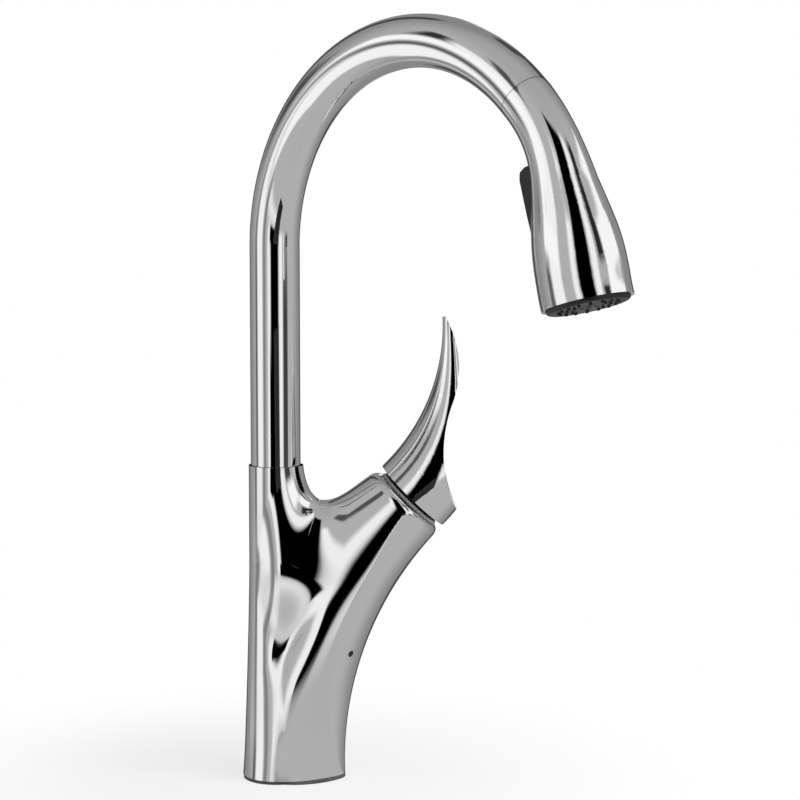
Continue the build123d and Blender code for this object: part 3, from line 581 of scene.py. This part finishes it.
room_tone = 0.44
light = room_tone - climb.rise(35.0, 70.0) * 0.06
light = light - depth.rise(-0.1, 0.75) * 0.19
left_wall = (
    (0.90, -84.0, -57.0, -10.0, 30.0, 4.0),
    (0.22, -53.0, -42.0, -15.0, 2.0, 4.0),
    (0.88, -31.0, -19.0, -10.0, 36.0, 4.0),
    (0.93, -118.0, -55.0, -42.0, -12.0, 4.0),
    (0.08, -65.0, -52.0, 31.0, 46.0, 3.0),
    (0.97, -96.0, -60.0, 4.0, 18.0, 3.0),
    (0.03, -92.0, -83.0, 22.0, 38.0, 3.0),
    (0.12, -98.0, -87.0, -9.0, -1.0, 2.5),
    (0.07, -136.0, -108.0, 8.0, 20.0, 5.0),
)
rear_wall = (
    (0.06, 148.0, 163.0, -30.0, 55.0, 3.0),
    (0.06, -163.0, -148.0, -30.0, 55.0, 3.0),
    (0.90, 168.0, 176.0, -16.0, 20.0, 2.0),
)
front_cards = (
    (0.00, -16.0, 18.0, -9.5, 51.0, 2.5),
    (0.80, -42.0, 4.0, -17.5, -11.0, 3.0),
    (0.00, -21.0, 18.0, -9.8, -4.5, 0.8),
)
right_wall = (
    (0.88, 22.0, 37.0, -9.0, 51.0, 3.0),
    (0.02, 43.0, 59.0, 22.0, 49.0, 3.0),
    (0.95, 62.0, 112.0, 14.0, 38.0, 3.0),
    (0.95, 42.0, 72.0, 0.0, 14.0, 3.0),
    (0.01, 78.0, 96.0, 1.0, 15.0, 3.0),
    (0.05, 41.0, 62.0, -9.0, -2.0, 2.0),
    (0.25, 118.0, 150.0, 4.0, 24.0, 6.0),
)
for placing in (*left_wall, *rear_wall, *front_cards, *right_wall):
    light = panel(light, *placing)

path = room.node("LightPath", output=0)
passing = Wire(tree, path.socket.node.outputs[6])
plain = room.node("Background", None, {"Color": (1.0, 1.0, 1.0, 1.0), "Strength": 1.0})
shade = room.node("Background", None, {"Color": (1.0, 1.0, 1.0, 1.0), "Strength": light})
mixed = room.node("MixShader", None, {0: path + passing, 1: shade, 2: plain})
tree.links.new(mixed.socket, tree.nodes["World Output"].inputs["Surface"])

# Floor: a plain pale sweep under the gasket that takes the object's shadow, and two cards on it
# that only the chrome sees: black felt far in front for the head, and before the foot a pale card that
# glows faintly, a light that shows only in the chrome's reflections.
floor_mesh = bpy.data.meshes.new("floor")
floor_build = bmesh.new()
floor_half = 6.0
bmesh.ops.create_grid(floor_build, x_segments=1, y_segments=1, size=floor_half)
floor_build.to_mesh(floor_mesh)
floor_build.free()
floor = bpy.data.objects.new("floor", floor_mesh)
floor.visible_glossy = False
floor.location.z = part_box("base_gasket")[0][2]
bpy.context.collection.objects.link(floor)
sweep, start, shader, where = finish_material("white_sweep")
path = start.node("LightPath", output=0)
passing = Wire(start.tree, path.socket.node.outputs[6])
fleck = noise(start, where, 30.0)
feed(start, shader, Base_Color=fleck.tint((0.88, 0.88, 0.88), (0.92, 0.92, 0.92)), Roughness=0.8)
white = start.node("Emission", None, {"Color": (1.0, 1.0, 1.0, 1.0), "Strength": 1.0})
lit = Wire(start.tree, shader.outputs[0])
away = start.node("VectorMath", {"operation": "LENGTH"}, {0: where}, 1)
bright = 0.75 + away.rise(0.06, 0.24) * 0.25
shown = start.node("MixShader", None, {0: (path + passing) * bright, 1: lit, 2: white})
start.tree.links.new(shown.socket, start.tree.nodes["Material Output"].inputs["Surface"])
floor_mesh.materials.append(sweep)


def floor_card(name, corners, finish):
    """Lays a card on the floor that only the chrome can see."""
    mesh = bpy.data.meshes.new(name)
    mesh.from_pydata(corners, [], [(0, 1, 2, 3)])
    mesh.materials.append(finish)
    card = bpy.data.objects.new(name, mesh)
    card.location.z = floor.location.z + mm
    card.visible_camera = False
    card.visible_shadow = False
    card.visible_diffuse = False
    bpy.context.collection.objects.link(card)


felt, start, shader, where = finish_material("black_felt")
nap = noise(start, where, 400.0)
feed(start, shader, Base_Color=nap.tint((0.004, 0.004, 0.004), (0.008, 0.008, 0.008)), Roughness=0.95)
dark_corners = ((0.10, -0.66, 0.0), (-0.20, -3.4, 0.0), (1.2, -3.4, 0.0), (0.33, -0.66, 0.0))
floor_card("dark_card", dark_corners, felt)

# The pale card glows: its emission fades out away from the foot and to one side, and it is a light seen
# only in the chrome's reflections.
glow_card_finish, start, shader, where = finish_material("glowing_pale_card")
grain = noise(start, where, 400.0)
feed(start, shader, Base_Color=(0.0, 0.0, 0.0, 1.0), Roughness=0.95, Emission_Strength=1.0)
feed(start, shader, Emission_Color=grain.tint((0.40, 0.40, 0.40), (0.44, 0.44, 0.44)))
away = start.node("VectorMath", {"operation": "LENGTH"}, {0: where}, 1)
beside = start.node("VectorMath", {"operation": "DOT_PRODUCT"}, {0: where, 1: (1.0, -0.445, 0.0)}, 1)
feed(start, shader, Alpha=(1.0 - away.rise(0.20, 0.55)) * beside.rise(-0.02, 0.04))
pale_corners = ((-0.40, 0.0, 0.0), (-0.40, -0.60, 0.0), (0.30, -0.60, 0.0), (0.10, 0.0, 0.0))
floor_card("pale_card", pale_corners, glow_card_finish)

# Lamp and camera: one large soft lamp from the right, above the object, and the camera a little
# above the outlet, looking slightly down as in the photograph.
lamp_data = bpy.data.lights.new("soft_lamp", "AREA")
lamp_data.size = 1.1
lamp_data.energy = 22.0
lamp = bpy.data.objects.new("soft_lamp", lamp_data)
lamp.location = (1.1, -0.7, 1.6)
lamp_aim = Vector((0, 0, 0.1))
lamp.rotation_euler = (lamp_aim - lamp.location).to_track_quat("-Z", "Y").to_euler()
lamp.visible_glossy = False
bpy.context.collection.objects.link(lamp)

camera_data = bpy.data.cameras.new("camera")
camera_data.lens = 112.5
camera_data.sensor_width = 36.0
camera = bpy.data.objects.new("camera", camera_data)
camera.location = (0.0678, -1.354, 0.3445)
look_down = 5.74
camera.rotation_euler = (math.radians(90 - look_down), 0, 0)
bpy.context.collection.objects.link(camera)
bpy.context.scene.camera = camera
bpy.context.scene.view_settings.view_transform = "Standard"
